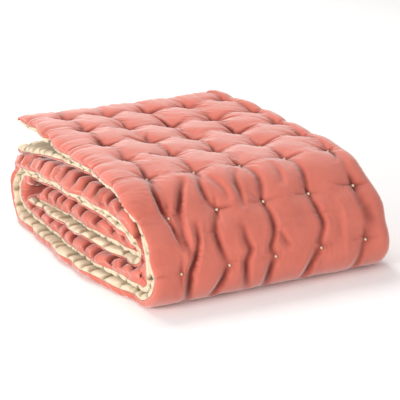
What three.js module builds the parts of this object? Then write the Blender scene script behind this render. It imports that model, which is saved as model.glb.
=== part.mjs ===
// Folded bed runner: a hand-tufted quilt with a velvet face and a cotton backing.
// The cloth is doubled lengthwise with its backing inside, and the doubled cloth is then folded
// over and over, so that eight thicknesses lie on each other round one big front fold.
// Lengths are in millimetres. X runs along the folds, from the open hems at low X to the
// lengthwise fold at high X. Y runs from the round front fold to the free end of the top flap.
// Z is up. The origin lies on the resting surface, under the middle of the folded pile.

import * as THREE from 'three';

// The tufts stand on a square grid. Column 0 is the one nearest to the open hems.
const TUFT_PITCH = 77;
const TUFT_COLUMNS = 5;
const END_MARGIN = 58;

// Rows of tufts, counted from the free end of the top flap: the velvet is drawn over the front
// fold, so its tufts stand a little wider apart there.
const ROW_RUNS = [
  { run: 'top flap', pitches: 4, pitch: TUFT_PITCH },
  { run: 'front fold', pitches: 2, pitch: TUFT_PITCH + 5 },
  { run: 'under and inside', pitches: 16, pitch: TUFT_PITCH + 1.6 },
];

// Half the cloth's thickness at a tuft and at a hem, the parting between velvet and cotton, and
// how far either cotton stays from the doubled cloth's middle line.
const TUFT_HALF = 1.8;
const HEM_HALF = 1.6;
const PARTING_HALF = 0.15;
const COTTON_CLEARANCE = 0.7;

// Height of the quilt halfway between two tufts, as a share of the crest of a puff, how wide
// the hems round off, and how far the wadding along the hems evens that height out.
const RIDGE_SHARE = 0.52;
const HEM_ROUNDING = 10;
const HEM_FULLNESS = 0.75;
const CREST_UNEVENNESS = 0.07;

// The doubled cloth's middle line, seen from the open hems: it runs straight from row to row
// and turns at each one with the given radius. spread is how far the middle of either thickness
// lies from that line, loft is half a thickness at the crest of a puff, bunched is the loft of
// the inner velvet, pressed is 1 where weight flattens the puffs. outerHem and innerHem are the
// distances from tuft column 0 to the hems, foldLine is the X of the lengthwise fold's axis, and
// gather is the share of its width that the cloth keeps.
const FOLD_ROWS = [
  { place: 'flap end', y: 366, z: 147, radius: 0, spread: 11, loft: 8.8, bunched: 8.8, pressed: 0,
    outerHem: 54, innerHem: 60, foldLine: 294, gather: 0.93 },
  { place: 'top middle', y: 190, z: 148, radius: 0, spread: 9.6, loft: 9, bunched: 9, pressed: 0,
    outerHem: 59, innerHem: 57, foldLine: 314, gather: 1 },
  { place: 'top front', y: -31, z: 150.5, radius: 80, spread: 9.6, loft: 9, bunched: 9, pressed: 0,
    outerHem: 56, innerHem: 46, foldLine: 318, gather: 1 },
  { place: 'front shoulder', y: -89, z: 97, radius: 60, spread: 9.6, loft: 9, bunched: 17, pressed: 0,
    outerHem: 42, innerHem: 40, foldLine: 331, gather: 1 },
  { place: 'front foot', y: -107, z: 21, radius: 24, spread: 10.2, loft: 11, bunched: 20, pressed: 0.7,
    outerHem: 45, innerHem: 44, foldLine: 337, gather: 1 },
  { place: 'bottom middle', y: 110, z: 20.5, radius: 0, spread: 10.2, loft: 11, bunched: 10, pressed: 1,
    outerHem: 82, innerHem: 70, foldLine: 332, gather: 1 },
  { place: 'rear foot', y: 346, z: 18, radius: 32, spread: 8.8, loft: 9.8, bunched: 15, pressed: 0.7,
    outerHem: 74, innerHem: 64, foldLine: 326, gather: 1 },
  { place: 'rear shoulder', y: 346, z: 83, radius: 32, spread: 8.6, loft: 8, bunched: 14, pressed: 0,
    outerHem: 68, innerHem: 62, foldLine: 324, gather: 1 },
  { place: 'second middle', y: 150, z: 103, radius: 0, spread: 9.4, loft: 8.8, bunched: 8.6, pressed: 0,
    outerHem: 70, innerHem: 63, foldLine: 324, gather: 1 },
  { place: 'inner shoulder', y: -19, z: 110, radius: 30, spread: 9.2, loft: 8.6, bunched: 8, pressed: 0,
    outerHem: 64, innerHem: 58, foldLine: 324, gather: 1 },
  { place: 'inner nose', y: -68, z: 65, radius: 20, spread: 9.4, loft: 10.5, bunched: 8, pressed: 0,
    outerHem: 62, innerHem: 57, foldLine: 324, gather: 1 },
  { place: 'third middle', y: 110, z: 65, radius: 0, spread: 9.8, loft: 8.8, bunched: 8.6, pressed: 0,
    outerHem: 72, innerHem: 60, foldLine: 324, gather: 1 },
  { place: 'inside end', y: 340, z: 46, radius: 0, spread: 8.2, loft: 7.4, bunched: 7.4, pressed: 0,
    outerHem: 68, innerHem: 62, foldLine: 322, gather: 1 },
];

// The bulk of the hems lifts the pile at its open side: share by depth, then by tuft column.
const TOP_HEIGHT = 160;
const HEM_LIFT = 12;
const LIFT_BY_DEPTH = [
  { y: -60, share: 0 },
  { y: 0, share: 0.15 },
  { y: 77, share: 0.75 },
  { y: 154, share: 0.85 },
  { y: 231, share: 1 },
  { y: 308, share: 0.6 },
  { y: 366, share: 0.1 },
];
const LIFT_BY_COLUMN = [
  { x: 0, share: 1 },
  { x: TUFT_PITCH, share: 0.4 },
  { x: 2 * TUFT_PITCH, share: -0.25 },
  { x: 3 * TUFT_PITCH, share: -0.25 },
  { x: 4 * TUFT_PITCH, share: 0.1 },
];

// The under thickness of the flap sags away from the upper one at the open corner.
const CORNER_SAG = 15;
const SAG_LENGTH = 240;
const SAG_WIDTH = 3 * TUFT_PITCH;

// How finely the cloth is stepped: along the hems, at the turns, and round the lengthwise fold.
const HEM_STEPS = [0, 3, 10, 32];
const LARGEST_TURN = THREE.MathUtils.degToRad(25);
const FOLD_STEPS = 6;
const PITCH_LINE = 10;

// Middle of the pile's box in the frame in which the fold rows are written.
const PILE_MIDDLE = { x: 138.55, y: 122.62 };

const VELVET_COLOUR = 0xdc8072;
const COTTON_COLOUR = 0xe2d3b2;

function first(list) {
  return list[0];
}

function last(list) {
  return list[list.length - 1];
}

function smoothShare(t) {
  return THREE.MathUtils.smoothstep(t, 0, 1);
}

// Straight-line reading of a rising table at one key, with its end values kept beyond its ends.
function readTable(rows, key, value, at) {
  if (at <= rows[0][key]) return rows[0][value];
  for (let i = 1; i < rows.length; i += 1) {
    if (at <= rows[i][key]) {
      const t = (at - rows[i - 1][key]) / (rows[i][key] - rows[i - 1][key]);
      return THREE.MathUtils.lerp(rows[i - 1][value], rows[i][value], t);
    }
  }
  return last(rows)[value];
}

// Turns the fold rows into straight lines and arcs, measured along the pitch line, which is
// where the tufts keep their distance: a little outside the doubled cloth's middle line.
function traceMiddleLine(rows) {
  const pieces = [];
  let travelled = 0;
  let from = new THREE.Vector2(rows[0].y, rows[0].z);
  const marks = [{ travelled: 0, ...rows[0] }];
  for (let i = 1; i < rows.length; i += 1) {
    const corner = new THREE.Vector2(rows[i].y, rows[i].z);
    const heading = corner.clone().sub(new THREE.Vector2(rows[i - 1].y, rows[i - 1].z)).normalize();
    const atEnd = i === rows.length - 1;
    const next = atEnd ? heading : new THREE.Vector2(rows[i + 1].y, rows[i + 1].z).sub(corner).normalize();
    const turn = rows[i].radius > 0 ? Math.abs(heading.angleTo(next)) : 0;
    const cut = rows[i].radius * Math.tan(turn / 2);
    const to = corner.clone().addScaledVector(heading, -cut);
    const length = from.distanceTo(to);
    pieces.push({ start: travelled, length, from, heading, turn: 0, radius: 0 });
    travelled += length;
    if (turn > 0) {
      const arcLength = (rows[i].radius + PITCH_LINE) * turn;
      pieces.push({ start: travelled, length: arcLength, from: to, heading, turn, radius: rows[i].radius });
      marks.push({ travelled: travelled + arcLength / 2, ...rows[i] });
      travelled += arcLength;
      from = corner.clone().addScaledVector(next, cut);
    } else {
      marks.push({ travelled, ...rows[i] });
      from = to;
    }
  }
  return { pieces, marks };
}

// Place, heading and outward direction on the middle line at a distance along the pitch line.
function placeOnLine(line, travelled) {
  let piece = line.pieces[0];
  for (const candidate of line.pieces) {
    if (candidate.start <= travelled) piece = candidate;
  }
  const share = (travelled - piece.start) / piece.length;
  const angle = piece.turn * share;
  const heading = piece.heading.clone().rotateAround(new THREE.Vector2(), angle);
  const outward = new THREE.Vector2(heading.y, -heading.x);
  if (piece.turn === 0) {
    return { at: piece.from.clone().addScaledVector(heading, travelled - piece.start), outward };
  }
  const firstOutward = new THREE.Vector2(piece.heading.y, -piece.heading.x);
  const centre = piece.from.clone().addScaledVector(firstOutward, -piece.radius);
  return { at: centre.addScaledVector(outward, piece.radius), outward };
}

function turnBetween(line, a, b) {
  let turn = 0;
  for (const piece of line.pieces) {
    const shared = Math.min(b, piece.start + piece.length) - Math.max(a, piece.start);
    if (shared > 0) turn += (piece.turn * shared) / piece.length;
  }
  return turn;
}

// Reads one column of the fold rows at a distance along the line, easing from row to row.
function readMark(line, column, travelled) {
  const marks = line.marks;
  for (let i = 1; i < marks.length; i += 1) {
    if (travelled <= marks[i].travelled) {
      const t = (travelled - marks[i - 1].travelled) / (marks[i].travelled - marks[i - 1].travelled);
      return THREE.MathUtils.lerp(marks[i - 1][column], marks[i][column], smoothShare(t));
    }
  }
  return last(marks)[column];
}

function tuftRowPlaces() {
  const places = [END_MARGIN];
  for (const { pitches, pitch } of ROW_RUNS) {
    for (let i = 0; i < pitches; i += 1) places.push(last(places) + pitch);
  }
  return places;
}

// Cross sections of the cloth along its length: where each lies and how far it is from the
// nearest tuft row, in pitches, and from the nearer end hem.
function lengthStations(line) {
  const rows = tuftRowPlaces();
  const clothLength = last(rows) + END_MARGIN;
  const coarse = [];
  for (const step of HEM_STEPS) coarse.push({ travelled: step, phase: 0.5 });
  rows.forEach((place, i) => {
    coarse.push({ travelled: place, phase: i });
    if (i < rows.length - 1) coarse.push({ travelled: (place + rows[i + 1]) / 2, phase: i + 0.5 });
  });
  for (const step of [...HEM_STEPS].reverse()) coarse.push({ travelled: clothLength - step, phase: 0.5 });

  const stations = [];
  coarse.forEach((station, i) => {
    if (i > 0) {
      const before = coarse[i - 1];
      const turn = turnBetween(line, before.travelled, station.travelled);
      const pieces = Math.max(1, Math.ceil(turn / LARGEST_TURN));
      for (let k = 1; k < pieces; k += 1) {
        const t = k / pieces;
        stations.push({
          travelled: THREE.MathUtils.lerp(before.travelled, station.travelled, t),
          phase: THREE.MathUtils.lerp(before.phase, station.phase, t),
        });
      }
    }
    stations.push(station);
  });
  return stations.map((station) => ({
    ...station,
    fromHem: Math.min(station.travelled, clothLength - station.travelled),
    ...placeOnLine(line, station.travelled),
  }));
}

// Points across the doubled cloth: from the outer hem along the outer thickness, round the
// lengthwise fold (angle 0 to half a turn) and back along the inner thickness to its hem.
// The parting between velvet and cotton is straight, so it needs fewer of them.
function widthStations(coarse) {
  const lastColumn = TUFT_COLUMNS - 1;
  const leaf = [];
  for (const step of coarse ? [0] : HEM_STEPS) leaf.push({ fromHem: step, phase: 0.5 });
  for (let column = 0; column <= lastColumn; column += 1) {
    leaf.push({ column, phase: column });
    if (!coarse && column < lastColumn) leaf.push({ column: column + 0.5, phase: column + 0.5 });
  }
  const points = leaf.map((point) => ({ ...point, angle: 0 }));
  for (let i = 0; i <= FOLD_STEPS; i += 1) {
    const t = i / FOLD_STEPS;
    points.push({ angle: Math.PI * t, phase: lastColumn + 0.25 + 0.5 * t });
  }
  for (const point of [...leaf].reverse()) points.push({ ...point, angle: Math.PI });
  return points.map((point) => ({ ...point, order: profileOrder(point) }));
}

// Where a point lies on its way across the doubled cloth, for joining two such rows of points.
function profileOrder(point) {
  const onFold = point.column === undefined && point.fromHem === undefined;
  if (onFold) return TUFT_COLUMNS + point.angle;
  const inLeaf = point.fromHem === undefined ? point.column : point.fromHem / TUFT_PITCH - 1;
  return point.angle === 0 ? inLeaf : 2 * TUFT_COLUMNS + Math.PI - inLeaf;
}

// Rises from 0 at a tuft over the ridge between two tufts to 1 at the crest of a puff.
function puffRise(rowPhase, columnPhase, evenness) {
  const along = Math.abs(Math.sin(Math.PI * rowPhase));
  const across = Math.abs(Math.sin(Math.PI * columnPhase));
  const ridge = THREE.MathUtils.lerp(RIDGE_SHARE, 1, evenness);
  return ridge * Math.max(along, across) + (1 - ridge) * Math.min(along, across);
}

function hemRounding(fromHem) {
  const t = Math.min(1, fromHem / HEM_ROUNDING);
  return Math.sqrt(1 - (1 - t) * (1 - t));
}

// Makes no two neighbouring puffs quite the same height, by a fixed rule.
function crestShare(rowPhase, columnPhase) {
  const byRow = Math.sin(2.1 * Math.floor(rowPhase) + 1.3);
  const byColumn = Math.sin(3.7 * Math.floor(columnPhase) + rowPhase);
  return 1 + (CREST_UNEVENNESS * (byRow + byColumn)) / 2 - CREST_UNEVENNESS;
}

// Moves a point of the pile as the bulk of the hems lifts it.
function liftedHeight(x, y, z) {
  const byDepth = readTable(LIFT_BY_DEPTH, 'y', 'share', y);
  const byColumn = readTable(LIFT_BY_COLUMN, 'x', 'share', x);
  return z + (HEM_LIFT * byDepth * byColumn * z) / TOP_HEIGHT;
}

// One point of the cloth, at an offset from the middle of its thickness: outwards for velvet.
function clothPoint(line, station, point, offset) {
  const inner = (1 - Math.cos(point.angle)) / 2;
  const spread = readMark(line, 'spread', station.travelled);
  const hem = readMark(line, inner > 0.5 ? 'innerHem' : 'outerHem', station.travelled);
  let baseX = readMark(line, 'foldLine', station.travelled);
  if (point.fromHem !== undefined) baseX = point.fromHem - hem;
  if (point.column !== undefined) {
    baseX = point.column * TUFT_PITCH * readMark(line, 'gather', station.travelled);
  }
  const reach = spread + offset;
  const x = baseX + reach * Math.sin(point.angle);
  const flapShare = 1 - smoothShare(station.travelled / SAG_LENGTH);
  const openShare = 1 - THREE.MathUtils.clamp(baseX / SAG_WIDTH, 0, 1);
  const n = reach * Math.cos(point.angle) - inner * CORNER_SAG * flapShare * openShare;
  const y = station.at.x + n * station.outward.x;
  const z = station.at.y + n * station.outward.y;
  return new THREE.Vector3(x - PILE_MIDDLE.x, y - PILE_MIDDLE.y, Math.max(0, liftedHeight(x, y, z)));
}

// Thickness of one panel, velvet or cotton, at a point of the cloth.
function panelDepth(line, station, point, side) {
  const outerThickness = point.angle < Math.PI / 2;
  const innerShare = Math.max(0, -Math.cos(point.angle));
  const loft = readMark(line, 'loft', station.travelled);
  const bunched = readMark(line, 'bunched', station.travelled);
  const spread = readMark(line, 'spread', station.travelled);
  const pressed = side > 0 && outerThickness ? readMark(line, 'pressed', station.travelled) : 0;
  const velvetCrest = THREE.MathUtils.lerp(loft, bunched, innerShare);
  const crest = side > 0 ? velvetCrest : Math.min(loft, spread - COTTON_CLEARANCE);
  const hemDistance = point.fromHem === undefined ? Infinity : point.fromHem;
  const rounding = Math.min(hemRounding(station.fromHem), hemRounding(hemDistance));
  const even = pressed > 0 ? 1 : crestShare(station.phase, point.phase);
  const evenness = Math.max(pressed, point.fromHem === undefined ? 0 : HEM_FULLNESS);
  const full = TUFT_HALF + (crest * even - TUFT_HALF) * puffRise(station.phase, point.phase, evenness);
  return HEM_HALF + (full - HEM_HALF) * rounding;
}

function reversed(triangles) {
  return triangles.map(([a, b, c]) => [a, c, b]);
}

// Two triangles for each square of a grid of points, each a { index, order }.
function gridTriangles(rows) {
  const triangles = [];
  for (let i = 0; i < rows.length - 1; i += 1) {
    for (let k = 0; k < rows[i].length - 1; k += 1) {
      const a = rows[i][k].index;
      const b = rows[i + 1][k].index;
      const c = rows[i + 1][k + 1].index;
      const d = rows[i][k + 1].index;
      triangles.push([a, b, c], [a, c, d]);
    }
  }
  return triangles;
}

// Joins two rows that run the same way but have different numbers of points.
function joinRows(a, b) {
  const triangles = [];
  let i = 0;
  let j = 0;
  while (i < a.length - 1 || j < b.length - 1) {
    const stepA = j === b.length - 1 || (i < a.length - 1 && a[i + 1].order <= b[j + 1].order);
    if (stepA) {
      triangles.push([a[i].index, a[i + 1].index, b[j].index]);
      i += 1;
    } else {
      triangles.push([a[i].index, b[j + 1].index, b[j].index]);
      j += 1;
    }
  }
  return triangles;
}

// One whole panel as a closed solid. side is 1 for the velvet, outside the middle of the
// cloth's thickness, and -1 for the cotton backing inside it.
function panelGeometry(line, side) {
  const stations = lengthStations(line);
  const puffed = widthStations(false);
  const plain = widthStations(true);
  const positions = [];
  const addRow = (points, depthAt) => (station) => points.map((point) => {
    positions.push(...clothPoint(line, station, point, side * depthAt(station, point)).toArray());
    return { index: positions.length / 3 - 1, order: point.order };
  });
  const puffedRows = stations.map(addRow(puffed, (s, p) => panelDepth(line, s, p, side)));
  const plainRows = stations.map(addRow(plain, () => PARTING_HALF));

  const triangles = [
    ...gridTriangles(puffedRows),
    ...reversed(gridTriangles(plainRows)),
    ...gridTriangles([puffedRows.map(first), plainRows.map(first)]),
    ...reversed(gridTriangles([puffedRows.map(last), plainRows.map(last)])),
    ...joinRows(first(puffedRows), first(plainRows)),
    ...reversed(joinRows(last(puffedRows), last(plainRows))),
  ];

  const geometry = new THREE.BufferGeometry();
  geometry.setAttribute('position', new THREE.Float32BufferAttribute(positions, 3));
  geometry.setIndex((side > 0 ? triangles : reversed(triangles)).flat());
  geometry.computeVertexNormals();
  return geometry;
}

function panel(name, line, side, colour, roughness) {
  const material = new THREE.MeshStandardMaterial({ color: colour, roughness, metalness: 0 });
  const mesh = new THREE.Mesh(panelGeometry(line, side), material);
  mesh.name = name;
  return mesh;
}

const middleLine = traceMiddleLine(FOLD_ROWS);
const foldedBedRunner = new THREE.Group();
foldedBedRunner.name = 'folded_bed_runner';
foldedBedRunner.add(panel('velvet_face', middleLine, 1, VELVET_COLOUR, 0.8));
foldedBedRunner.add(panel('cotton_backing', middleLine, -1, COTTON_COLOUR, 0.9));

export default foldedBedRunner;
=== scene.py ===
"""A folded bed runner: a hand-tufted quilt with a coral velvet face and a cream cotton backing.

The quilt is doubled lengthwise, cotton inside, and the doubled quilt is folded over and over.
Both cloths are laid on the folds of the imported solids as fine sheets, which are then relaxed:
every point keeps its distance from its neighbours in the flat cloth, the wadding pushes it out
and the tufts and hems hold it in, so that the cloth puffs, dimples and puckers.

Shapes are worked out in millimetres, with x along the folds from the first column of tufts, y
from front to rear and z up, and are scaled to metres and centred when a mesh is made.
"""

from __future__ import annotations

import logging
import math
from dataclasses import dataclass
from enum import Enum

import bmesh
import bpy
import numpy as np
from mathutils import Matrix, Vector
from mathutils.bvhtree import BVHTree

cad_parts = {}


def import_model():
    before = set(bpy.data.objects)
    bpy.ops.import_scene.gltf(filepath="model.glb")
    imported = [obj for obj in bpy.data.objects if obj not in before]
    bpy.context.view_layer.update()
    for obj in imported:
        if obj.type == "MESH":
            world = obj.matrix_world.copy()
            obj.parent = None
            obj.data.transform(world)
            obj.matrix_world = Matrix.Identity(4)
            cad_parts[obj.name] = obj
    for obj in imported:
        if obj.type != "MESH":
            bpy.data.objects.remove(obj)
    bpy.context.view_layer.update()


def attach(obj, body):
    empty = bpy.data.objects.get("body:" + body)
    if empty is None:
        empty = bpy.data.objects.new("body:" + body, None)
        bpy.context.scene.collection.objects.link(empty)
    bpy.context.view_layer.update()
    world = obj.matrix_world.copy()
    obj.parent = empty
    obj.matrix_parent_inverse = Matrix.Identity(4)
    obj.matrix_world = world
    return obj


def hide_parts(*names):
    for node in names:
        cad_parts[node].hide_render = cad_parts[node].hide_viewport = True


LOG = logging.getLogger("bed_runner")
MM = 0.001
FARTHEST = 99.0


class Cloth(Enum):
    """The two cloths of the quilt, and the side of its thickness that each lies on."""

    VELVET = 1
    COTTON = -1


@dataclass(frozen=True)
class FoldRow:
    """One corner of the doubled quilt's middle line, and how the quilt lies there.

    The middle line is drawn as it shows at the open hems. spread is how far the middle of
    either thickness lies from it, loft is half a thickness at the crest of a puff, bunched the
    loft of the inner velvet, pressed is 1 where weight flattens the puffs, taut is 1 where the
    cloth is stretched along itself round a fold, and pit is how far a tuft stands out from the
    middle of the thickness. outer_hem and inner_hem are distances from the first tuft column,
    fold_line is the axis of the lengthwise fold, and gather is the share of its width that the
    cloth keeps.
    """

    place: str
    y: float
    z: float
    radius: float
    spread: float
    loft: float
    bunched: float
    pressed: float
    taut: float
    pit: float
    outer_hem: float
    inner_hem: float
    fold_line: float
    gather: float


FOLD_ROWS = (
    FoldRow("flap end", 364, 147, 0, 11, 8.8, 8.8, 0, 0, -1.5, 49, 58, 294, 0.93),
    FoldRow("top middle", 190, 148, 0, 9.6, 9, 9, 0, 0, -2.5, 59, 58, 314, 1),
    FoldRow("top front", -31, 150.5, 80, 9.6, 9, 9, 0, 0.35, -0.5, 56, 34, 318, 1),
    FoldRow("front shoulder", -89, 97, 60, 9.6, 9, 17, 0, 1, 5.5, 42, 40, 331, 1),
    FoldRow("front foot", -107, 21, 24, 10.2, 11, 20, 0.7, 1, 5.5, 45, 44, 337, 1),
    FoldRow("bottom middle", 110, 20.5, 0, 10.2, 11, 10, 1, 0.2, 2, 82, 70, 332, 1),
    FoldRow("rear foot", 346, 18, 32, 8.8, 9.8, 15, 0.7, 0.8, 2.5, 74, 64, 326, 1),
    FoldRow("rear shoulder", 346, 83, 32, 8.6, 8, 14, 0, 0.8, 2.5, 68, 62, 324, 1),
    FoldRow("second middle", 150, 103, 0, 9.4, 8.8, 8.6, 0, 0, 1.8, 70, 63, 324, 1),
    FoldRow("inner shoulder", -26, 108, 30, 9.2, 8.6, 8, 0, 0.8, 2, 52, 50, 324, 1),
    FoldRow("inner nose", -92, 60, 17, 9.4, 10.5, 8, 0, 0.8, 2, 38, 36, 324, 1),
    FoldRow("third middle", 110, 64, 0, 9.8, 8.8, 8.6, 0, 0, 1.8, 72, 60, 324, 1),
    FoldRow("inside end", 340, 46, 0, 8.2, 7.4, 7.4, 0, 0, 1.8, 68, 62, 322, 1),
)


@dataclass(frozen=True)
class Crease:
    """A soft trough pressed into the velvet, as points of tuft row and tuft column."""

    course: tuple[tuple[float, float], ...]
    depth: float
    width: float

    CORNER_CUT = 0.25
    CORNER_ROUNDS = 2
    FADE = 0.7
    GENTLE_SIDE = 1.7
    STEEP_SIDE = 0.8
    RAISED = 0.4
    RAISED_AT = 2.0
    RAISED_WIDTH = 0.8

    def _rounded(self, pitch: float) -> np.ndarray:
        """Rounds the course's corners by cutting them off.

        Args:
            pitch: The tufts' pitch.

        Returns:
            Points along the course, as distances along the cloth and across it.
        """
        ends = np.array(self.course) * pitch
        for _ in range(self.CORNER_ROUNDS):
            here, there = ends[:-1], ends[1:]
            way = self.CORNER_CUT * (there - here)
            cut = np.stack([here + way, there - way], axis=1)
            ends = np.concatenate([ends[:1], cut.reshape(-1, 2), ends[-1:]])
        return ends

    def shapes(self, row: np.ndarray, column: np.ndarray,
               pitch: float) -> tuple[np.ndarray, np.ndarray]:
        """Shapes the cloth at the crease, which is steeper on one side than on the other.

        Args:
            row: Each point's distance along the cloth from the first tuft row.
            column: Its distance across from the first tuft column.
            pitch: The tufts' pitch.

        Returns:
            How deep the trough is at each point, and how high the cloth stands up beside it.
        """
        ends = self._rounded(pitch)
        lengths = np.linalg.norm(np.diff(ends, axis=0), axis=1)
        total, passed = lengths.sum(), 0.0
        nearest = np.full(row.shape, np.inf)
        share = np.zeros(row.shape)
        before = np.zeros(row.shape, bool)
        for start, way, length in zip(ends[:-1], np.diff(ends, axis=0), lengths):
            way = way / length
            ahead, aside = row - start[0], column - start[1]
            along = np.clip(ahead * way[0] + aside * way[1], 0, length)
            away = np.hypot(ahead - along * way[0], aside - along * way[1])
            closer = away < nearest
            nearest = np.where(closer, away, nearest)
            share = np.where(closer, (passed + along) / total, share)
            before = np.where(closer, aside < along * way[1], before)
            passed += length
        depth = self.depth * np.sin(math.pi * np.clip(share, 0, 1)) ** self.FADE
        away = nearest / (self.width * np.where(before, self.GENTLE_SIDE, self.STEEP_SIDE))
        beside = (away - self.RAISED_AT) / self.RAISED_WIDTH
        return depth * np.exp(-(away**2)), self.RAISED * depth * np.exp(-(beside**2))


CREASES = (
    Crease(((4.1, 0.0), (4.45, -0.2), (4.8, -0.15), (5.0, 0.0), (5.4, 0.05), (5.7, 0.2)), 7.0, 5.0),
    Crease(((4.3, 0.62), (4.6, 0.4), (5.04, 0.23), (5.36, 0.19), (5.6, 0.24), (5.85, 0.3)),
           9.5, 5.0),
    Crease(((5.15, 0.5), (5.4, 0.44), (5.65, 0.38), (6.0, 0.24), (6.3, 0.19), (6.65, 0.24)),
           10.0, 5.0),
    Crease(((4.1, 0.95), (4.5, 0.86), (4.8, 0.88), (5.0, 1.0)), 5.4, 5.0),
    Crease(((5.0, 1.0), (5.35, 0.84), (5.65, 0.86), (6.0, 1.0)), 5.4, 4.5),
    Crease(((6.0, 1.0), (6.25, 0.88), (6.55, 0.7)), 7.8, 5.5),
    Crease(((4.3, 1.15), (4.6, 1.3), (4.9, 1.32)), 3.9, 5.0),
    Crease(((4.2, 1.8), (4.5, 1.6), (4.8, 1.6), (5.1, 1.55)), 5.4, 5.0),
    Crease(((5.3, 1.4), (5.6, 1.42), (5.8, 1.52), (6.0, 1.38), (6.3, 1.4), (6.6, 1.5)), 6.2, 5.5),
    Crease(((4.1, 2.05), (4.6, 2.15), (5.0, 2.0)), 4.7, 5.0),
    Crease(((5.0, 2.0), (5.3, 2.07), (5.6, 2.05), (5.85, 1.9), (6.0, 2.0)), 6.2, 5.0),
    Crease(((6.0, 2.0), (6.25, 1.88), (6.6, 1.9)), 7.0, 5.5),
    Crease(((5.5, 2.12), (5.7, 2.23), (5.9, 2.35)), 3.9, 4.5),
    Crease(((4.2, 2.55), (4.5, 2.6), (4.8, 2.5)), 3.1, 5.5),
    Crease(((4.1, 3.05), (4.5, 3.1), (5.0, 3.0)), 3.9, 5.0),
    Crease(((5.0, 3.0), (5.3, 3.07), (5.6, 3.14), (5.85, 3.02), (6.0, 3.0)), 5.4, 5.0),
    Crease(((6.0, 3.0), (6.2, 2.8), (6.6, 2.7)), 7.0, 6.0),
    Crease(((5.1, 3.4), (5.6, 3.5), (6.2, 3.42)), 2.3, 8.0),
    Crease(((5.0, 4.0), (5.4, 4.08), (5.8, 4.15)), 3.1, 5.5),
    Crease(((6.0, 4.0), (6.3, 3.9), (6.6, 3.8)), 3.9, 5.5),
)


@dataclass(frozen=True)
class TuftCreases:
    """Short creases that run out from every tuft, most of them towards its neighbours."""

    headings: tuple[float, ...] = (90.0, 270.0, 0.0, 180.0, 40.0, 215.0)
    turn: float = 15.0
    bend: float = 0.007
    depth: tuple[float, float] = (1.6, 4.6)
    reach: tuple[float, float] = (12.0, 34.0)
    width: float = 3.3
    beginning: float = 3.0
    lengthwise: tuple[float, ...] = (90.0, 270.0)
    seed: int = 21

    def pressed(self, row: np.ndarray, column: np.ndarray, pitch: float,
                taut: np.ndarray) -> np.ndarray:
        """Gives how deep the creases press each point.

        Args:
            row: Row numbers.
            column: Column numbers.
            pitch: The tufts' pitch.
            taut: 1 where only creases along the cloth can form.

        Returns:
            Depths.
        """
        i = np.clip(np.round(row), 0, None).astype(int)
        j = np.clip(np.round(column), 0, None).astype(int)
        chance = np.random.default_rng(self.seed)
        size = (int(i.max()) + 1, int(j.max()) + 1)
        ahead = (row - i) * pitch
        aside = (column - j) * pitch
        pressed = np.zeros(row.shape)
        for heading in self.headings:
            angle = np.radians(heading + self.turn * chance.uniform(-1, 1, size))[i, j]
            bend = self.bend * chance.uniform(-1, 1, size)[i, j]
            depth = chance.uniform(*self.depth, size)[i, j]
            reach = chance.uniform(*self.reach, size)[i, j]
            along = aside * np.cos(angle) + ahead * np.sin(angle)
            away = ahead * np.cos(angle) - aside * np.sin(angle) - bend * along**2
            fade = np.exp(-(along / reach) ** 2) * smooth_share(along / self.beginning)
            if heading not in self.lengthwise:
                depth = depth * (1 - taut)
            pressed = np.maximum(pressed, depth * fade * np.exp(-(away / self.width) ** 2))
        return pressed


@dataclass(frozen=True)
class Puckers:
    """Creases that a hem's stitches draw in, square to the hem; lengths are in millimetres."""

    apart: tuple[float, float]
    width: float
    reach: tuple[float, float]
    share: tuple[float, float]
    seed: int

    STEEP_SIDE = 0.6

    def along(self, places: np.ndarray, hem: int) -> tuple[np.ndarray, np.ndarray]:
        """Places the creases along one hem.

        Args:
            places: Each point's distance along the hem.
            hem: The hem's number, so that each has creases of its own.

        Returns:
            How far each point is drawn in, as a share, and how far from the hem that reaches.
        """
        chance = np.random.default_rng((self.seed, hem))
        drawn = np.zeros(len(places))
        reach = np.full(len(places), self.reach[0])
        at = chance.uniform(*self.apart)
        while at < places[-1]:
            away = places - at
            steep = 1.0 if chance.uniform() < 0.5 else -1.0
            width = self.width * np.where(away * steep > 0, self.STEEP_SIDE, 1.0)
            here = chance.uniform(*self.share) * np.exp(-(away / width) ** 2)
            reach = np.where(here > drawn, chance.uniform(*self.reach), reach)
            drawn = np.maximum(drawn, here)
            at += chance.uniform(*self.apart)
        return drawn, reach


def smooth_share(t: np.ndarray) -> np.ndarray:
    """Eases from 0 to 1 as t does, and stays there beyond.

    Args:
        t: Shares of the way.

    Returns:
        The eased shares.
    """
    t = np.clip(t, 0.0, 1.0)
    return t * t * (3.0 - 2.0 * t)


def closeness(distance: np.ndarray, reach: float, steepness: int = 2) -> np.ndarray:
    """Gives 1 at no distance and fades out over the reach, smoothly and without end.

    Args:
        distance: Distances, which may be infinite.
        reach: How far it reaches.
        steepness: How squarely it fades; 2 gives a bell.

    Returns:
        Shares.
    """
    return np.exp(-(np.minimum(distance, FARTHEST) / reach) ** steepness)


def finished_mesh(bm: bmesh.types.BMesh, name: str) -> bpy.types.Mesh:
    """Turns a bmesh into a mesh and frees it.

    Args:
        bm: The bmesh.
        name: The mesh's name.

    Returns:
        The mesh.
    """
    mesh = bpy.data.meshes.new(name)
    bm.to_mesh(mesh)
    bm.free()
    return mesh


def linked(mesh: bpy.types.Mesh) -> bpy.types.Object:
    """Puts a mesh into the scene as an object of the same name.

    Args:
        mesh: The mesh.

    Returns:
        The object.
    """
    piece = bpy.data.objects.new(mesh.name, mesh)
    bpy.context.scene.collection.objects.link(piece)
    return piece


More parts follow.
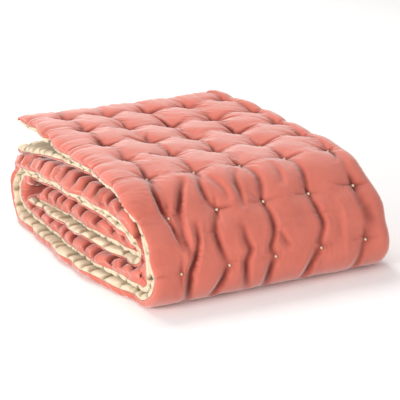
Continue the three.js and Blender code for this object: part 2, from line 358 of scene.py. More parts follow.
class FoldPath:
    """The doubled quilt's middle line: straight runs and arcs, measured a little outside it."""

    PITCH_LINE = 10.0

    def __init__(self, rows: tuple[FoldRow, ...]) -> None:
        """Traces the line.

        Args:
            rows: The corners of the line, from the free end of the top flap to the inside end.
        """
        self.rows = rows
        self.pieces: list[tuple[float, float, np.ndarray, np.ndarray, float, float]] = []
        corners = [np.array([row.y, row.z], float) for row in rows]
        start, travelled, marks = corners[0], 0.0, [0.0]
        for i in range(1, len(rows)):
            heading = self._unit(corners[i] - corners[i - 1])
            following = self._unit(corners[i + 1] - corners[i]) if i + 1 < len(rows) else heading
            turn = 0.0
            if rows[i].radius > 0:
                turn = math.acos(float(np.clip(heading @ following, -1, 1)))
            cut = rows[i].radius * math.tan(turn / 2)
            stop = corners[i] - heading * cut
            length = float(np.linalg.norm(stop - start))
            self.pieces.append((travelled, length, start, heading, 0.0, 0.0))
            travelled += length
            start = stop
            if turn > 0:
                arc = (rows[i].radius + self.PITCH_LINE) * turn
                self.pieces.append((travelled, arc, stop, heading, turn, rows[i].radius))
                marks.append(travelled + arc / 2)
                travelled += arc
                start = corners[i] + following * cut
            else:
                marks.append(travelled)
        self.marks = np.array(marks)

    @staticmethod
    def _unit(v: np.ndarray) -> np.ndarray:
        """Gives a vector's direction."""
        return v / np.linalg.norm(v)

    def places(self, travelled: np.ndarray) -> tuple[np.ndarray, np.ndarray]:
        """Finds where the line is.

        Args:
            travelled: Distances along the line.

        Returns:
            Points of the line and its outward directions, each as rows of y and z.
        """
        at = np.zeros((len(travelled), 2))
        outward = np.zeros((len(travelled), 2))
        for start, length, point, heading, turn, radius in self.pieces:
            here = travelled >= start
            along = travelled[here] - start
            angle = turn * along / length
            cosine, sine = np.cos(angle), np.sin(angle)
            ahead = np.stack(
                [heading[0] * cosine - heading[1] * sine, heading[0] * sine + heading[1] * cosine],
                axis=1,
            )
            out = np.stack([ahead[:, 1], -ahead[:, 0]], axis=1)
            if turn == 0:
                at[here] = point + along[:, None] * heading
            else:
                first_out = np.array([heading[1], -heading[0]])
                at[here] = point - radius * first_out + radius * out
            outward[here] = out
        return at, outward

    def read(self, name: str, travelled: np.ndarray) -> np.ndarray:
        """Reads one column of the fold rows, easing from row to row.

        Args:
            name: The column's name.
            travelled: Distances along the line.

        Returns:
            The column's values there.
        """
        values = np.array([getattr(row, name) for row in self.rows], float)
        index = np.clip(np.searchsorted(self.marks, travelled), 1, len(self.marks) - 1)
        before, after = self.marks[index - 1], self.marks[index]
        share = smooth_share((travelled - before) / (after - before))
        return values[index - 1] + (values[index] - values[index - 1]) * share


@dataclass(frozen=True)
class Tufting:
    """The square grid of tufts and how the wadding stands up between them."""

    pitch: float = 77.0
    columns: int = 5
    margin: float = 58.0
    runs: tuple[tuple[int, float], ...] = ((4, 77.0), (2, 82.0), (16, 80.6))
    valley: float = 0.17
    valley_width: float = 12.0
    taut_valley: float = 0.4
    core_share: float = 0.45
    core_reach: float = 7.0
    bowl_reach: float = 23.0
    plumpness: float = 0.5
    hem_reach: float = 26.0
    hem_rounding: float = 12.0
    hem_fullness: float = 0.75
    unevenness: float = 0.07
    wander: float = 0.13

    def row_places(self) -> np.ndarray:
        """Gives each tuft row's distance along the cloth from the free end of the top flap.

        Returns:
            The distances, from the first row to the last.
        """
        places = [self.margin]
        for count, pitch in self.runs:
            for _ in range(count):
                places.append(places[-1] + pitch)
        return np.array(places)

    def length(self) -> float:
        """Gives the length of the flat cloth."""
        return float(self.row_places()[-1] + self.margin)

    def row_phase(self, travelled: np.ndarray) -> np.ndarray:
        """Counts tuft rows along the cloth; halfway between two rows is a half.

        Args:
            travelled: Distances from the free end of the top flap.

        Returns:
            Row numbers, down to -0.5 in the first hem and up to half past the last row.
        """
        rows = self.row_places()
        phase = np.interp(travelled, rows, np.arange(len(rows)))
        before = 0.5 * np.clip((rows[0] - travelled) / self.hem_reach, 0, 1)
        beyond = 0.5 * np.clip((travelled - rows[-1]) / self.hem_reach, 0, 1)
        return phase - before + beyond

    def rise(self, row: np.ndarray, column: np.ndarray, evenness: np.ndarray,
             taut: np.ndarray) -> np.ndarray:
        """Rises from 0 at a tuft, steeply at first, to 1 at the crest of a puff.

        Args:
            row: Row numbers.
            column: Column numbers.
            evenness: 0 for free puffs, 1 where there are no valleys between them.
            taut: 1 where the cloth is stretched along itself.

        Returns:
            Heights as shares of the crest.
        """
        ahead = self.pitch * np.abs(row - np.round(row))
        aside = self.pitch * np.abs(column - np.round(column))
        from_tuft = np.hypot(ahead, aside)
        core = self.core_share * np.exp(-from_tuft / self.core_reach)
        bowl = (1 - self.core_share) * np.exp(-(from_tuft / self.bowl_reach) ** 2)
        crosswise = (1 - taut) * np.exp(-(ahead / self.valley_width) ** 2)
        lengthwise = (1 - self.taut_valley * taut) * np.exp(-(aside / self.valley_width) ** 2)
        valleys = self.valley * np.maximum(crosswise, lengthwise) * (1 - evenness)
        return (1 - core - bowl) * (1 - valleys)

    def rounding(self, from_hem: np.ndarray) -> np.ndarray:
        """Rounds a hem off: 0 at its edge and 1 from the hem's radius inwards."""
        t = np.clip(from_hem / self.hem_rounding, 0, 1)
        return np.sqrt(1 - (1 - t) ** 2)


@dataclass(frozen=True)
class PileShape:
    """What bears on the whole pile: the bulk of its hems, its sagging corner and its middle."""

    top_height: float = 160.0
    hem_lift: float = 12.0
    lift_depths: tuple[float, ...] = (-60, 0, 77, 154, 231, 308, 366)
    lift_by_depth: tuple[float, ...] = (0, 0.15, 0.75, 0.85, 1, 0.6, 0.1)
    lift_columns: tuple[float, ...] = (0, 77, 154, 231, 308)
    lift_by_column: tuple[float, ...] = (1, 0.4, -0.25, -0.25, 0.1)
    corner_sag: float = 23.0
    sag_length: float = 240.0
    sag_width: float = 231.0
    middle: tuple[float, float] = (138.55, 122.62)

    def lifted(self, x: np.ndarray, y: np.ndarray, z: np.ndarray) -> np.ndarray:
        """Gives heights in the pile after the bulk of the hems has lifted it.

        Args:
            x: Distances from the first tuft column.
            y: Distances from front to rear.
            z: Heights before.

        Returns:
            Heights after.
        """
        by_depth = np.interp(y, self.lift_depths, self.lift_by_depth)
        by_column = np.interp(x, self.lift_columns, self.lift_by_column)
        return z + self.hem_lift * by_depth * by_column * z / self.top_height


class Spacing:
    """Where a sheet has its points, along the cloth and across it."""

    HEM_STEPS = (0.0, 0.35, 1.2, 2.6, 4.6, 7.2, 10.2)
    EDGE_STEPS = 4
    FLAT_PHASE = 0.25

    def __init__(self, tufting: Tufting, along: tuple[int, int], outer: int, inner: int,
                 hem_step: float, arc: int) -> None:
        """Lays out the points.

        Args:
            tufting: The grid of tufts, each of which gets a point.
            along: Steps between two tuft rows, on the visible runs and on the others.
            outer: Steps between two tuft columns of the outer thickness.
            inner: Steps between two tuft columns of the inner thickness.
            hem_step: Step in the hems, inside their rounding.
            arc: Steps round the lengthwise fold.
        """
        rows = tufting.row_places()
        hem = self._hem_distances(tufting.margin, hem_step)
        runs = [hem]
        visible = tufting.runs[0][0] + tufting.runs[1][0]
        for i in range(len(rows) - 1):
            steps = along[0] if i < visible else along[1]
            runs.append(np.linspace(rows[i], rows[i + 1], steps, endpoint=False))
        runs.append((tufting.length() - np.append(hem, tufting.margin))[::-1])
        self.travelled = np.concatenate(runs)

        last = tufting.columns - 1
        share = 1 - hem / tufting.margin
        edge = np.linspace(0, 1, self.EDGE_STEPS + 1)[1:-1]
        half = self._leaf(share, last, outer, edge)
        other = self._leaf(share, last, inner, edge)
        angles = np.linspace(0, math.pi, arc)
        middle = np.zeros((len(angles), 4))
        middle[:, 2] = 1
        middle[:, 3] = angles
        other[:, 3] = math.pi
        across = np.concatenate([half, middle, other[::-1]])
        self.hem_share, self.column_share, self.fold_share, self.angle = across.T
        flat = self.FLAT_PHASE
        leaf = np.where(self.fold_share > 0, last + flat * self.fold_share, self.column_share)
        turned = last + flat + (1 - 2 * flat) * self.angle / math.pi
        inside = self.angle >= math.pi - 1e-6
        phase = np.where(self.angle > 0, turned, leaf)
        self.column_phase = np.where(inside, 2 * last + 1 - leaf, phase)

    def _hem_distances(self, margin: float, step: float) -> np.ndarray:
        """Gives distances from a hem's edge to just short of the first tuft row.

        Args:
            margin: The hem's width.
            step: Step inside its rounding.

        Returns:
            The distances.
        """
        last = self.HEM_STEPS[-1]
        count = max(1, round((margin - last) / step))
        plain = np.linspace(last, margin, count + 1)[1:-1]
        return np.concatenate([self.HEM_STEPS, plain])

    @staticmethod
    def _leaf(hem_share: np.ndarray, last: int, steps: int, edge: np.ndarray) -> np.ndarray:
        """Lays points over one thickness, from its hem to the lengthwise fold.

        Args:
            hem_share: Shares of the hem's width, from 1 at the edge.
            last: The last tuft column.
            steps: Steps between two tuft columns.
            edge: Shares of the way from the last tuft column to the lengthwise fold.

        Returns:
            Rows of shares of the hem, the tuft columns and the fold line, and a zero angle.
        """
        columns = np.linspace(0, last, last * steps + 1)
        rows = np.zeros((len(hem_share) + len(columns) + len(edge), 4))
        rows[: len(hem_share), 0] = hem_share
        rows[len(hem_share): len(hem_share) + len(columns), 1] = columns
        rows[len(hem_share) + len(columns):, 1] = last * (1 - edge)
        rows[len(hem_share) + len(columns):, 2] = edge
        return rows


@dataclass
class Folds:
    """Lays points of the cloth on the folds of the pile."""

    path: FoldPath
    tufting: Tufting
    pile: PileShape
    spacing: Spacing
    puckers: tuple[Puckers, ...]

    # Room between neighbouring folds, and how the velvet's puffs fill it.
    ROOM_STEP = 3
    RAY_START = 2.0
    FAR = 40.0
    FACING = 24.0
    ROOM_GAP = 0.4
    FATTEST = 26.0
    THINNEST = 1.6
    FILLED_REACH = 60.0
    RISE_INTO_ROOM = 0.72
    TAUT_FLATTENING = 0.6
    TAUT_WAVES = 1.8
    COTTON_PIT = 1.2

    # Hems: their waves, their seams, and how far the ends of the two thicknesses part.
    HEM_WAVE = 2.5
    HEM_WAVE_SEEDS = (61, 62, 63, 64)
    HEM_KNOTS = 23
    HEM_WAVE_REACH = 22.0
    SCALLOP = 5.0
    SEAM = 0.25
    SEAM_DROP = 4.0
    SEAM_REACH = 9.0
    END_STAGGER = 16.0
    STAGGER_LENGTH = 220.0

    # The velvet's roll over its seams, less where it faces down or is drawn in.
    ROLL = 7.0
    ROLL_PLACE = 3.6
    ROLL_STEPS = 6
    ROLL_DRAWN = 0.6
    ROLL_BY_TILT = (0.75, 0.6)
    LEAST_ROLL = 0.15

    # How far the stitches of a hem draw each cloth in.
    LEAST_STEP = 0.5
    VELVET_DRAWN = (0.2, 0.38)
    TAUT_UNDRAWN = 0.8
    COTTON_DRAWN = 0.7

    def __post_init__(self) -> None:
        """Reads the fold rows at each point's distance along the cloth."""
        s = self.spacing
        self.read = {
            name: self.path.read(name, s.travelled)[:, None]
            for name in ("spread", "loft", "bunched", "pressed", "taut", "pit", "outer_hem",
                         "inner_hem", "fold_line", "gather")
        }
        self.at, self.outward = self.path.places(s.travelled)
        self.inner = (1 - np.cos(s.angle))[None, :] / 2
        waves = [self._hem_wave(seed) for seed in self.HEM_WAVE_SEEDS]
        between = np.abs(np.sin(math.pi * self.tufting.row_phase(s.travelled)))[:, None] - 0.5
        inside = self.inner > 0.5
        hem = np.where(inside, self.read["inner_hem"] + self.HEM_WAVE * waves[0],
                       self.read["outer_hem"] + self.HEM_WAVE * waves[1] + self.SCALLOP * between)
        self.base = (
            self.tufting.pitch * self.read["gather"] * s.column_share[None, :]
            + self.read["fold_line"] * s.fold_share[None, :]
            - hem * s.hem_share[None, :]
        )
        in_hem = s.hem_share[None, :] > 0
        self.from_side_hem = np.where(in_hem, hem * (1 - s.hem_share[None, :]), np.inf)
        self.from_end_hem = np.minimum(s.travelled, self.tufting.length() - s.travelled)[:, None]
        reach = np.clip(hem * s.hem_share[None, :] / self.tufting.hem_reach, 0, 1)
        sign = np.where(s.column_phase > self.tufting.columns - 0.5, -1.0, 1.0)[None, :]
        self.column = s.column_phase[None, :] - 0.5 * reach * sign * in_hem
        self.row = np.broadcast_to(
            self.tufting.row_phase(s.travelled)[:, None], self.column.shape
        )
        near_hem = closeness(self.from_side_hem, self.HEM_WAVE_REACH)
        at_seam = closeness(self.from_side_hem, self.SEAM_REACH)
        past_flap = smooth_share(s.travelled / self.pile.sag_length)[:, None]
        self.wave = self.HEM_WAVE / 2 * near_hem * np.where(inside, waves[2], waves[3])
        self.wave = self.wave - self.SEAM_DROP * at_seam * (1 - self.read["taut"]) * past_flap

    def _hem_wave(self, seed: int) -> np.ndarray:
        """Gives a hem's unevenness at each distance along the cloth.

        Args:
            seed: The hem's own seed.

        Returns:
            Values from -1 to 1, as one column.
        """
        travelled = self.spacing.travelled
        knots = np.arange(0, self.tufting.length() + self.HEM_KNOTS, self.HEM_KNOTS)
        wave = np.random.default_rng(seed).uniform(-1, 1, len(knots))
        return np.interp(travelled, knots, wave)[:, None]

    def _wandering(self, seed: int) -> np.ndarray:
        """Gives soft unevenness, about two rises and dips from tuft to tuft."""
        cells = (2 * int(self.row.max() + 2), 4 * self.tufting.columns)
        return smooth_noise(self.row.shape, cells, seed)

    def from_tuft(self) -> np.ndarray:
        """Gives each point's distance from the nearest tuft, in the flat cloth."""
        row, column = self.row, self.column
        return self.tufting.pitch * np.hypot(row - np.round(row), column - np.round(column))

    def points(self, offset: np.ndarray) -> np.ndarray:
        """Places the cloth.

        Args:
            offset: Distances from the middle of the quilt's thickness, outwards for velvet.

        Returns:
            The points, as a grid of x, y and z.
        """
        angle = self.spacing.angle[None, :]
        reach = self.read["spread"] + offset + self.wave
        x = self.base + reach * np.sin(angle)
        flap = 1 - smooth_share(self.spacing.travelled / self.pile.sag_length)[:, None]
        open_share = 1 - np.clip(self.base / self.pile.sag_width, 0, 1)
        n = reach * np.cos(angle) - self.inner * self.pile.corner_sag * flap * open_share
        left = (self.tufting.length() - self.spacing.travelled)[:, None] / self.STAGGER_LENGTH
        stagger = self.END_STAGGER * (1 - smooth_share(left)) * (1 - 2 * self.inner)
        y = self.at[:, :1] + n * self.outward[:, :1] + stagger
        z = self.at[:, 1:] + n * self.outward[:, 1:]
        return np.stack([x, y, self.pile.lifted(x, y, z)], axis=2)

    def directions(self, cloth: Cloth) -> tuple[np.ndarray, np.ndarray]:
        """Finds the middle of the quilt's thickness and the way out of it.

        Args:
            cloth: The cloth that lies that way.

        Returns:
            The middle points and the outward directions.
        """
        zero = np.zeros(self.base.shape)
        middle = self.points(zero)
        out = self.points(zero + cloth.value) - middle
        return middle, out / np.linalg.norm(out, axis=-1, keepdims=True)

    def room(self) -> np.ndarray:
        """Finds the room that the velvet has before it meets the next fold of the pile.

        Returns:
            Half the way to the next thickness at each point, or no limit where none faces it.
        """
        middle, out = self.directions(Cloth.VELVET)
        step = self.ROOM_STEP
        coarse, way = middle[::step, ::step], out[::step, ::step]
        rows, columns = coarse.shape[:2]
        index = np.arange(rows * columns).reshape(rows, columns)
        squares = np.stack(
            [index[:-1, :-1], index[1:, :-1], index[1:, 1:], index[:-1, 1:]], axis=-1
        )
        tree = BVHTree.FromPolygons(
            coarse.reshape(-1, 3).tolist(), squares.reshape(-1, 4).tolist()
        )
        far = self.FAR
        found = np.full(rows * columns, far)
        flat, ways = coarse.reshape(-1, 3), way.reshape(-1, 3)
        for i, (point, heading) in enumerate(zip(flat, ways)):
            start = Vector(point + heading * self.RAY_START)
            hit = tree.ray_cast(start, Vector(heading), 2 * far)
            if hit[0] is not None:
                found[i] = (hit[3] + self.RAY_START) / 2
        found = found.reshape(rows, columns)
        along = np.clip(np.arange(middle.shape[0]) / step, 0, rows - 1)
        across = np.clip(np.arange(middle.shape[1]) / step, 0, columns - 1)
        for _ in range(3):
            found[1:-1] = np.minimum(found[1:-1], (found[2:] + found[1:-1] + found[:-2]) / 3)
        wide = np.stack([np.interp(along, np.arange(rows), column) for column in found.T], axis=1)
        return np.stack([np.interp(across, np.arange(columns), row) for row in wide])

    def creased(self) -> np.ndarray:
        """Gives how deep the placed creases press each point of the velvet.

        Returns:
            Depths, below zero where the cloth stands up beside a crease.
        """
        pressed = np.zeros(self.base.shape)
        sides = np.zeros(self.base.shape)
        pitch = self.tufting.pitch
        row = np.clip(self.row, 0, None) * pitch
        for crease in CREASES:
            trough, raised = crease.shapes(row, self.column * pitch, pitch)
            pressed = np.maximum(pressed, trough)
            sides += raised * (trough < raised)
        return pressed - np.clip(sides - pressed, 0, None)

    def drawn_in(self) -> np.ndarray:
        """Gives how far the hems' stitches draw each point in, from 0 to 1.

        Returns:
            Shares, over the whole grid of points.
        """
        drawn = np.zeros(self.base.shape)
        travelled = self.spacing.travelled
        width = self.base[len(travelled) // 2]
        step = np.abs(np.diff(width)) + self.LEAST_STEP
        across = np.concatenate([[0], np.cumsum(step)])
        from_end = travelled[:, None]
        beyond = self.tufting.length() - from_end
        for puckers in self.puckers:
            for hem, side in enumerate((self.inner < 0.5, self.inner >= 0.5)):
                share, reach = puckers.along(travelled, hem)
                part = share[:, None] * np.exp(-(self.from_side_hem / reach[:, None]) ** 2)
                drawn = np.where(side, np.maximum(drawn, part), drawn)
            for hem, away in ((2, from_end), (3, beyond)):
                share, reach = puckers.along(across, hem)
                drawn = np.maximum(drawn, share[None, :] * np.exp(-(away / reach[None, :]) ** 2))
        return drawn

    def rolled(self, start: np.ndarray, drawn: np.ndarray) -> np.ndarray:
        """Rolls the velvet's hems a little over their seams.

        Args:
            start: The points as they lie.
            drawn: How far the hems' stitches draw each point in.

        Returns:
            The points, moved out over the seams.
        """
        def roll(from_hem: np.ndarray) -> np.ndarray:
            """Gives how far a point moves out over its seam."""
            share = np.minimum(from_hem, FARTHEST) / self.ROLL_PLACE
            return self.ROLL * share * np.exp(1 - share) * (1 - self.ROLL_DRAWN * drawn)

        moved = start.copy()
        upwards = self.directions(Cloth.VELVET)[1][..., 2]
        level, tilt = self.ROLL_BY_TILT
        facing_up = np.clip(level + tilt * upwards, self.LEAST_ROLL, 1)
        moved[..., 0] -= roll(self.from_side_hem) * facing_up
        travelled = self.spacing.travelled[:, None]
        beyond = self.tufting.length() - travelled
        steps = self.ROLL_STEPS
        for end, from_end, other in ((0, travelled, steps), (-1, beyond, -1 - steps)):
            away = start[end] - start[other]
            away /= np.linalg.norm(away, axis=-1, keepdims=True) + 1e-6
            moved += roll(from_end)[..., None] * away[None]
        return moved

    def depth(self, cloth: Cloth) -> np.ndarray:
        """Gives each point's distance from the middle of the quilt's thickness, unwrinkled.

        Args:
            cloth: The velvet or the cotton.

        Returns:
            Distances, all above zero.
        """
        t = self.tufting
        taut, pit = self.read["taut"], self.read["pit"]
        in_hem = np.isfinite(self.from_side_hem)
        by_row = np.sin(2.1 * np.floor(self.row) + 1.3)
        by_column = np.sin(3.7 * np.floor(self.column) + self.row)
        uneven = 1 + t.unevenness * (by_row + by_column) / 2 - t.unevenness
        row = self.row + t.wander * self._wandering(3) * np.sin(math.pi * self.column) ** 2
        column = self.column + t.wander * self._wandering(4) * np.sin(math.pi * self.row) ** 2
        drawn = self.drawn_in()
        if cloth is Cloth.COTTON:
            pit = self.COTTON_PIT + np.maximum(0, -pit)
            crest = np.minimum(self.read["loft"], self.read["spread"] - 0.5) * uneven
            full = pit + (crest - pit) * t.rise(row, column, t.hem_fullness * in_hem, taut)
            full *= 1 - self.COTTON_DRAWN * drawn
        else:
            outside = (self.spacing.angle < math.pi / 2)[None, :]
            pressed = np.where(outside, self.read["pressed"], 0)
            crest, facing = self._velvet_crest(pressed)
            crest = crest * np.where(pressed > 0, 1, uneven)
            evenness = np.maximum(pressed, t.hem_fullness * in_hem)
            full = pit + (crest - pit) * t.rise(row, column, evenness, taut)
            full += self.TAUT_WAVES * taut * (1 - pressed) * self._wandering(9)
            short = TuftCreases().pressed(self.row, self.column, t.pitch, taut) * (1 - pressed)
            full = np.maximum(full - np.maximum(self.creased(), short), np.minimum(pit, 1))
            open_share, facing_share = self.VELVET_DRAWN
            drawing = open_share + facing_share * facing
            drawing *= 1 - self.TAUT_UNDRAWN * taut * ~facing
            full *= 1 - drawing * drawn
        rounding = np.minimum(t.rounding(self.from_end_hem), t.rounding(self.from_side_hem))
        return self.SEAM + (full - self.SEAM) * rounding

    def _velvet_crest(self, pressed: np.ndarray) -> tuple[np.ndarray, np.ndarray]:
        """Finds how high the velvet's puffs stand, and fills the gaps that show at the hems.

        Args:
            pressed: 1 where weight flattens the puffs.

        Returns:
            The crests' heights, and True where the next fold faces the point.
        """
        inner = np.maximum(0, -np.cos(self.spacing.angle))[None, :]
        crest = self.read["loft"] + (self.read["bunched"] - self.read["loft"]) * inner
        room = self.room()
        facing = room < self.FACING
        upwards = self.directions(Cloth.VELVET)[1][..., 2]
        wanted = room * (1 + self.RISE_INTO_ROOM * upwards) - self.ROOM_GAP
        wanted = np.clip(wanted, self.THINNEST, self.FATTEST)
        at_hem = closeness(self.from_side_hem, self.FILLED_REACH, steepness=4)
        filled = crest + (wanted - crest) * at_hem
        free = (1 - pressed) * (1 - self.TAUT_FLATTENING * self.read["taut"])
        return np.where(facing, filled, crest * (1 + self.tufting.plumpness * free)), facing


@dataclass(frozen=True)
class ClothFeel:
    """How a cloth behaves while it is relaxed."""

    slack: float
    tuft_slack: float
    hem_slack: float
    hem_slack_width: float
    push: float
    bending: float
    filling: float
    rounds: int
    unevenness: float
    seed: int


class Relaxation:
    """Settles a grid of cloth points between its tufts, hems, wadding and neighbours."""

    MOST_BUNCHED = 1.06
    FLOOR_GAP = 0.3
    KEPT_SPEED = 0.85
    SLANT_SHARE = 0.5

    def __init__(self, start: np.ndarray, middle: np.ndarray, outward: np.ndarray,
                 held: np.ndarray, low: np.ndarray, high: np.ndarray, filling: np.ndarray,
                 slack_along: np.ndarray, slack_across: np.ndarray, feel: ClothFeel) -> None:
        """Takes the cloth as it lies.

        Args:
            start: The points as they lie, a grid of x, y and z.
            middle: The middle of the quilt's thickness at each point.
            outward: The way the wadding pushes each point.
            held: True where a tuft or a hem holds a point.
            low: The least distance that each point keeps from the middle.
            high: The most distance.
            filling: How strongly the wadding keeps each point at its height, per round.
            slack_along: Spare length of the cloth along itself, as a share.
            slack_across: Spare length across.
            feel: How the cloth behaves.
        """
        self.x = start.astype(np.float32)
        self.middle = middle.astype(np.float32)
        self.outward = outward.astype(np.float32)
        self.free = np.where(held, 0, 1).astype(np.float32)[..., None]
        self.low, self.high = low.astype(np.float32), high.astype(np.float32)
        self.filling = filling.astype(np.float32)
        self.feel = feel
        self.height = self._height()
        self.along = self._rest(0, slack_along)
        self.across = self._rest(1, slack_across)
        mean_along = (self.along[:, 1:] + self.along[:, :-1]) / 2
        mean_across = (self.across[1:] + self.across[:-1]) / 2
        self.slant = np.sqrt(mean_along**2 + mean_across**2)

    def _height(self) -> np.ndarray:
        """Gives each point's distance from the middle of the quilt's thickness."""
        return ((self.x - self.middle) * self.outward).sum(-1)

    def _rest(self, axis: int, slack: np.ndarray) -> np.ndarray:
        """Gives the rest lengths along one axis of the grid.

        Args:
            axis: 0 along the cloth, 1 across it.
            slack: Spare length as a share, at each point.

        Returns:
            The rest lengths between neighbours.
        """
        lies = np.linalg.norm(np.diff(self.x, axis=axis), axis=-1)
        flat = np.linalg.norm(np.diff(self.middle, axis=axis), axis=-1)
        a, b = (slack[1:], slack[:-1]) if axis == 0 else (slack[:, 1:], slack[:, :-1])
        rest = np.clip(flat, lies, self.MOST_BUNCHED * lies)
        return (rest * (1 + (a + b) / 2)).astype(np.float32)

    def _pull(self, a: np.ndarray, b: np.ndarray, free_a: np.ndarray, free_b: np.ndarray,
              rest: np.ndarray, share: float) -> None:
        """Moves pairs of neighbours back to their rest length, in place.

        Args:
            a: The first points of the pairs.
            b: The second points.
            free_a: 0 where a first point is held, otherwise 1.
            free_b: The same for the second points.
            rest: The rest lengths.
            share: How much of the difference is made good.
        """
        count = (min(a.shape[0], rest.shape[0]), min(a.shape[1], rest.shape[1]))
        a, b = a[: count[0], : count[1]], b[: count[0], : count[1]]
        free_a, free_b = free_a[: count[0], : count[1]], free_b[: count[0], : count[1]]
        gap = b - a
        length = np.sqrt(np.einsum("ijk,ijk->ij", gap, gap))[..., None] + 1e-6
        weight = np.maximum(free_a + free_b, 1e-6)
        gap *= (length - rest[: count[0], : count[1], None]) * share / (length * weight)
        a += gap * free_a
        b -= gap * free_b

    def _sweep(self) -> None:
        """Restores every distance once."""
        x, w = self.x, self.free
        for o in (0, 1):
            self._pull(x[o:-1:2], x[o + 1::2], w[o:-1:2], w[o + 1::2], self.along[o::2], 1.0)
        for o in (0, 1):
            self._pull(x[:, o:-1:2], x[:, o + 1::2], w[:, o:-1:2], w[:, o + 1::2],
                       self.across[:, o::2], 1.0)
        for o in (0, 1):
            self._pull(x[o:-1:2, :-1], x[o + 1::2, 1:], w[o:-1:2, :-1], w[o + 1::2, 1:],
                       self.slant[o::2], self.SLANT_SHARE)
            self._pull(x[o:-1:2, 1:], x[o + 1::2, :-1], w[o:-1:2, 1:], w[o + 1::2, :-1],
                       self.slant[o::2], self.SLANT_SHARE)

    @staticmethod
    def _unbent(x: np.ndarray) -> np.ndarray:
        """Gives each point's way to the middle of its neighbours.

        Args:
            x: The points.

        Returns:
            The ways, with none past the ends of a row or column.
        """
        way = np.zeros_like(x)
        way[1:-1] += x[2:] + x[:-2] - 2 * x[1:-1]
        way[:, 1:-1] += x[:, 2:] + x[:, :-2] - 2 * x[:, 1:-1]
        return way

    def _normals(self) -> np.ndarray:
        """Gives the sheet's normal at each point, on the side that the wadding pushes to.

        Returns:
            Unit vectors.
        """
        along = np.zeros_like(self.x)
        across = np.zeros_like(self.x)
        along[1:-1] = self.x[2:] - self.x[:-2]
        along[0], along[-1] = self.x[1] - self.x[0], self.x[-1] - self.x[-2]
        across[:, 1:-1] = self.x[:, 2:] - self.x[:, :-2]
        across[:, 0] = self.x[:, 1] - self.x[:, 0]
        across[:, -1] = self.x[:, -1] - self.x[:, -2]
        normal = np.cross(along, across)
        normal /= np.sqrt(np.einsum("ijk,ijk->ij", normal, normal))[..., None] + 1e-6
        facing = np.sign(np.einsum("ijk,ijk->ij", normal, self.outward))[..., None]
        return normal * facing

    def run(self) -> np.ndarray:
        """Relaxes the cloth.

        Returns:
            The settled points.
        """
        speed = np.zeros_like(self.x)
        for _ in range(self.feel.rounds):
            before = self.x.copy()
            self.x += speed * self.KEPT_SPEED * self.free
            self.x += self.free * self._normals() * self.feel.push
            short = self.filling * (self.height - self._height())
            self.x += self.free * short[..., None] * self.outward
            self.x -= self.free * self.feel.bending * self._unbent(self._unbent(self.x))
            self._sweep()
            self._sweep()
            height = self._height()
            back = np.clip(height, self.low, self.high) - height
            self.x += self.free * back[..., None] * self.outward
            np.maximum(self.x[..., 2], self.FLOOR_GAP, out=self.x[..., 2])
            speed = self.x - before
        return self.x


def smooth_noise(shape: tuple[int, int], cells: tuple[int, int], seed: int) -> np.ndarray:
    """Makes soft, seeded unevenness over a grid.

    Args:
        shape: The grid's numbers of points.
        cells: Numbers of rises and dips each way.
        seed: The seed.

    Returns:
        Values of about -1 to 1.
    """
    knots = np.random.default_rng(seed).uniform(-1, 1, (cells[0] + 1, cells[1] + 1))

    def spread_out(values: np.ndarray, count: int) -> np.ndarray:
        """Eases from knot to knot along the first axis.

        Args:
            values: Values at the knots.
            count: Number of points wanted.

        Returns:
            Values at the points.
        """
        at = np.linspace(0, values.shape[0] - 1, count)
        low = np.minimum(at.astype(int), values.shape[0] - 2)
        share = smooth_share(at - low)[:, None]
        return values[low] * (1 - share) + values[low + 1] * share

    return spread_out(spread_out(knots, shape[0]).T, shape[1]).T


